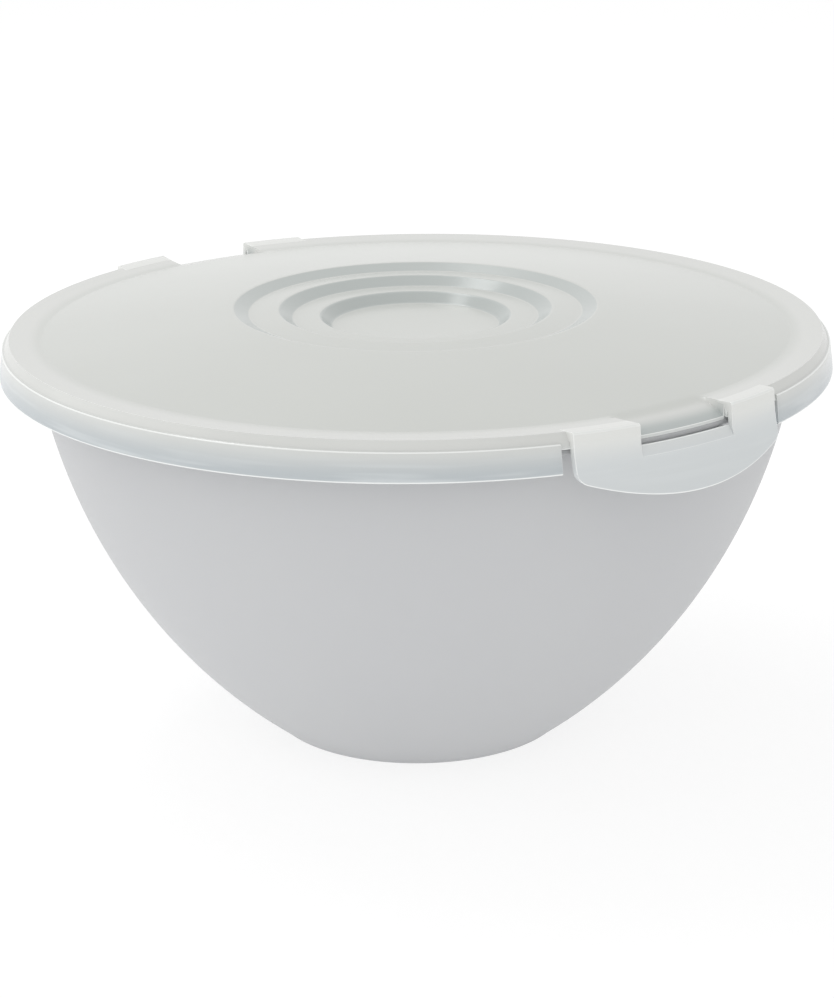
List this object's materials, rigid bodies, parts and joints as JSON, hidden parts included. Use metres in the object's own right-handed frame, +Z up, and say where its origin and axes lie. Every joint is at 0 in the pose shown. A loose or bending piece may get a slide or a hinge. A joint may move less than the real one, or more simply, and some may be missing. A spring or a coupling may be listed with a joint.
{
  "type": "lidded salad bowl",
  "caption": "Round moulded salad bowl with a foot ring and flared rim, closed by a ringed snap lid whose two flexing clips catch under the rim.",
  "frame": {"origin": "middle of the foot ring, on the surface that the bowl stands on", "axes": "+Z up through the middle of the bowl and lid, -Y to the front clip, +Y to the rear clip, +X across"},
  "size_m": [0.2798, 0.292, 0.1462],
  "materials": {
    "bowl_plastic": "satin moulded polypropylene, opaque light grey",
    "lid_plastic": "soft satin moulded polyethylene, milky and slightly translucent"
  },
  "bodies": {
    "bowl": {"bowl": "bowl_plastic"},
    "lid": {"lid": "lid_plastic", "front_hinge_left": "lid_plastic", "front_hinge_right": "lid_plastic", "rear_hinge_left": "lid_plastic", "rear_hinge_right": "lid_plastic"},
    "front_clip": {"front_clip": "lid_plastic", "front_catch": "lid_plastic"},
    "rear_clip": {"rear_clip": "lid_plastic", "rear_catch": "lid_plastic"}
  },
  "joints": [
    {"name": "lid_lift", "type": "slide", "parent": "bowl", "child": "lid", "axis": [0, 0, 1], "range_m": [0, 0.06], "deforming": ["front_catch", "rear_catch"]},
    {"name": "front_clip_flex", "type": "hinge", "parent": "lid", "child": "front_clip", "pos_m": [0, -0.1376, 0.1375], "axis": [-1, 0, 0], "range_deg": [0, 30], "stiffness_Nm_per_rad": 0.25, "deforming": ["front_hinge_left", "front_hinge_right"]},
    {"name": "rear_clip_flex", "type": "hinge", "parent": "lid", "child": "rear_clip", "pos_m": [0, 0.1376, 0.1375], "axis": [1, 0, 0], "range_deg": [0, 30], "stiffness_Nm_per_rad": 0.25, "deforming": ["rear_hinge_left", "rear_hinge_right"]}
  ]
}
